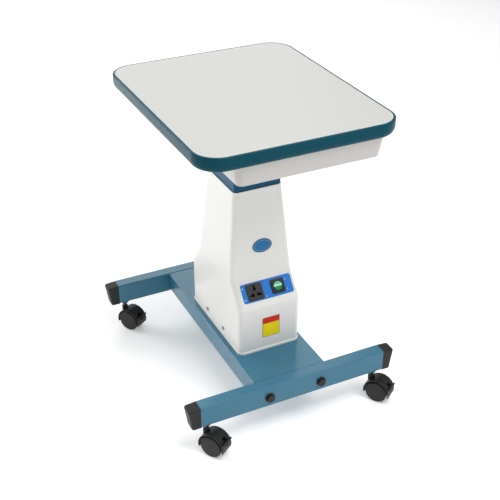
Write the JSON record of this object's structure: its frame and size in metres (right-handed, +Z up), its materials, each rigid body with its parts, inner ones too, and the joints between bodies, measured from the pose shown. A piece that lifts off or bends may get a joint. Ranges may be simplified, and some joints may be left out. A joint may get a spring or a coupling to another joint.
{
  "type": "instrument lift table",
  "caption": "Motor-driven instrument lift table: rounded laminate top with a shallow drawer, telescoping mast in a shouldered column cover, H-shaped steel base on braked twin-wheel casters.",
  "frame": {"origin": "on the floor, under the middle of the whole outline with the lift at its lower stop", "axes": "+Z up; the controls and the drawer face -Y; +X is to the right in a view along +Y"},
  "size_m": [0.4916, 0.5766, 0.685],
  "materials": {
    "frame_paint": "semi-gloss powder coat",
    "mast_paint": "semi-gloss powder coat",
    "cap_plastic": "fine moulded texture",
    "bolt_black": "black finish",
    "cover_plastic": "smooth moulded, satin",
    "drawer_plastic": "smooth moulded, satin",
    "laminate": "fine satin laminate",
    "board": "particle board",
    "band_plastic": "smooth moulded edge",
    "label_film": "printed film",
    "badge_film": "smooth raised plate",
    "notice_film": "bare printed film",
    "switch_black": "moulded",
    "rocker_green": "translucent moulded",
    "plain_steel": "turned or drawn",
    "zinc_steel": "zinc plated",
    "drive_nylon": "natural nylon",
    "gear_cast": "cast",
    "motor_black": "enamelled",
    "bronze": "machined",
    "caster_nylon": "moulded nylon",
    "wheel_plastic": "moulded, smooth tread",
    "core_steel": "varnished laminations"
  },
  "bodies": {
    "base": {"centre_beam": "frame_paint", "front_cross_tube": "frame_paint", "rear_cross_tube": "frame_paint", "end_cap_front_left": "cap_plastic", "end_cap_front_right": "cap_plastic", "end_cap_rear_left": "cap_plastic", "end_cap_rear_right": "cap_plastic", "front_frame_bolts": "bolt_black", "rear_frame_bolts": "bolt_black", "column_base_plate": "frame_paint", "base_plate_bolts": "zinc_steel", "guide_post": "plain_steel", "post_collar": "drive_nylon", "limit_switches": "switch_black", "gearbox": "gear_cast", "lift_motor": "motor_black", "drive_tube": "zinc_steel", "control_box": "switch_black", "transformer": "core_steel", "mains_inlet": "switch_black", "column_cover": "cover_plastic", "cover_screws": "zinc_steel", "control_label": "label_film", "outlet_socket": "switch_black", "switch_bezel": "switch_black", "notice_plate": "notice_film", "oval_badge": "badge_film", "caster_stem_front_left": "zinc_steel", "caster_stem_front_right": "zinc_steel", "caster_stem_rear_left": "zinc_steel", "caster_stem_rear_right": "zinc_steel"},
    "mast": {"lift_mast": "mast_paint", "mast_collar": "drive_nylon", "lift_nut": "bronze", "push_tube": "plain_steel", "head_plate": "frame_paint", "head_screws": "zinc_steel", "table_board": "board", "table_laminate": "laminate", "edge_band": "band_plastic", "drawer_rails": "zinc_steel"},
    "screw": {"lead_screw": "plain_steel"},
    "drawer": {"drawer": "drawer_plastic"},
    "rocker": {"switch_rocker": "rocker_green"},
    "swivel_front_left": {"caster_hood_front_left": "caster_nylon"},
    "outer_wheel_front_left": {"caster_wheel_outer_front_left": "wheel_plastic"},
    "inner_wheel_front_left": {"caster_wheel_inner_front_left": "wheel_plastic"},
    "brake_front_left": {"brake_lever_front_left": "caster_nylon"},
    "swivel_front_right": {"caster_hood_front_right": "caster_nylon"},
    "outer_wheel_front_right": {"caster_wheel_outer_front_right": "wheel_plastic"},
    "inner_wheel_front_right": {"caster_wheel_inner_front_right": "wheel_plastic"},
    "brake_front_right": {"brake_lever_front_right": "caster_nylon"},
    "swivel_rear_left": {"caster_hood_rear_left": "caster_nylon"},
    "outer_wheel_rear_left": {"caster_wheel_outer_rear_left": "wheel_plastic"},
    "inner_wheel_rear_left": {"caster_wheel_inner_rear_left": "wheel_plastic"},
    "brake_rear_left": {"brake_lever_rear_left": "caster_nylon"},
    "swivel_rear_right": {"caster_hood_rear_right": "caster_nylon"},
    "outer_wheel_rear_right": {"caster_wheel_outer_rear_right": "wheel_plastic"},
    "inner_wheel_rear_right": {"caster_wheel_inner_rear_right": "wheel_plastic"},
    "brake_rear_right": {"brake_lever_rear_right": "caster_nylon"}
  },
  "joints": [
    {"name": "lift", "type": "slide", "parent": "base", "child": "mast", "axis": [0, 0, 1], "range_m": [0, 0.2]},
    {"name": "screw_turn", "type": "hinge", "parent": "base", "child": "screw", "pos_m": [0.0015, 0.03513, 0.456], "axis": [0, 0, 1], "continuous": true},
    {"name": "drawer_slide", "type": "slide", "parent": "mast", "child": "drawer", "axis": [0, -1, 0], "range_m": [0, 0.12]},
    {"name": "rocker_tilt", "type": "hinge", "parent": "base", "child": "rocker", "pos_m": [0.0297, -0.10166, 0.26578], "axis": [1, 0, 0], "range_deg": [-6, 6], "stiffness_Nm_per_rad": 0.12},
    {"name": "swivel_front_left", "type": "hinge", "parent": "base", "child": "swivel_front_left", "pos_m": [-0.202, -0.23427, 0.0557], "axis": [0, 0, 1], "continuous": true},
    {"name": "outer_roll_front_left", "type": "hinge", "parent": "swivel_front_left", "child": "outer_wheel_front_left", "pos_m": [-0.19098, -0.2506, 0.025], "axis": [0.829, 0.5592, 0], "continuous": true},
    {"name": "inner_roll_front_left", "type": "hinge", "parent": "swivel_front_left", "child": "inner_wheel_front_left", "pos_m": [-0.19098, -0.2506, 0.025], "axis": [0.829, 0.5592, 0], "continuous": true},
    {"name": "brake_press_front_left", "type": "hinge", "parent": "swivel_front_left", "child": "brake_front_left", "pos_m": [-0.18595, -0.25806, 0.035], "axis": [0.829, 0.5592, 0], "range_deg": [0, 10]},
    {"name": "swivel_front_right", "type": "hinge", "parent": "base", "child": "swivel_front_right", "pos_m": [0.202, -0.23427, 0.0557], "axis": [0, 0, 1], "continuous": true},
    {"name": "outer_roll_front_right", "type": "hinge", "parent": "swivel_front_right", "child": "outer_wheel_front_right", "pos_m": [0.21302, -0.2506, 0.025], "axis": [0.829, 0.5592, 0], "continuous": true},
    {"name": "inner_roll_front_right", "type": "hinge", "parent": "swivel_front_right", "child": "inner_wheel_front_right", "pos_m": [0.21302, -0.2506, 0.025], "axis": [0.829, 0.5592, 0], "continuous": true},
    {"name": "brake_press_front_right", "type": "hinge", "parent": "swivel_front_right", "child": "brake_front_right", "pos_m": [0.21805, -0.25806, 0.035], "axis": [0.829, 0.5592, 0], "range_deg": [0, 10]},
    {"name": "swivel_rear_left", "type": "hinge", "parent": "base", "child": "swivel_rear_left", "pos_m": [-0.202, 0.26774, 0.0557], "axis": [0, 0, 1], "continuous": true},
    {"name": "outer_roll_rear_left", "type": "hinge", "parent": "swivel_rear_left", "child": "outer_wheel_rear_left", "pos_m": [-0.19098, 0.2514, 0.025], "axis": [0.829, 0.5592, 0], "continuous": true},
    {"name": "inner_roll_rear_left", "type": "hinge", "parent": "swivel_rear_left", "child": "inner_wheel_rear_left", "pos_m": [-0.19098, 0.2514, 0.025], "axis": [0.829, 0.5592, 0], "continuous": true},
    {"name": "brake_press_rear_left", "type": "hinge", "parent": "swivel_rear_left", "child": "brake_rear_left", "pos_m": [-0.18595, 0.24394, 0.035], "axis": [0.829, 0.5592, 0], "range_deg": [0, 10]},
    {"name": "swivel_rear_right", "type": "hinge", "parent": "base", "child": "swivel_rear_right", "pos_m": [0.202, 0.26774, 0.0557], "axis": [0, 0, 1], "continuous": true},
    {"name": "outer_roll_rear_right", "type": "hinge", "parent": "swivel_rear_right", "child": "outer_wheel_rear_right", "pos_m": [0.21302, 0.2514, 0.025], "axis": [0.829, 0.5592, 0], "continuous": true},
    {"name": "inner_roll_rear_right", "type": "hinge", "parent": "swivel_rear_right", "child": "inner_wheel_rear_right", "pos_m": [0.21302, 0.2514, 0.025], "axis": [0.829, 0.5592, 0], "continuous": true},
    {"name": "brake_press_rear_right", "type": "hinge", "parent": "swivel_rear_right", "child": "brake_rear_right", "pos_m": [0.21805, 0.24394, 0.035], "axis": [0.829, 0.5592, 0], "range_deg": [0, 10]}
  ],
  "couplings": [
    {"joint": "screw_turn", "follows": "lift", "rad_per_m": -785.4}
  ]
}
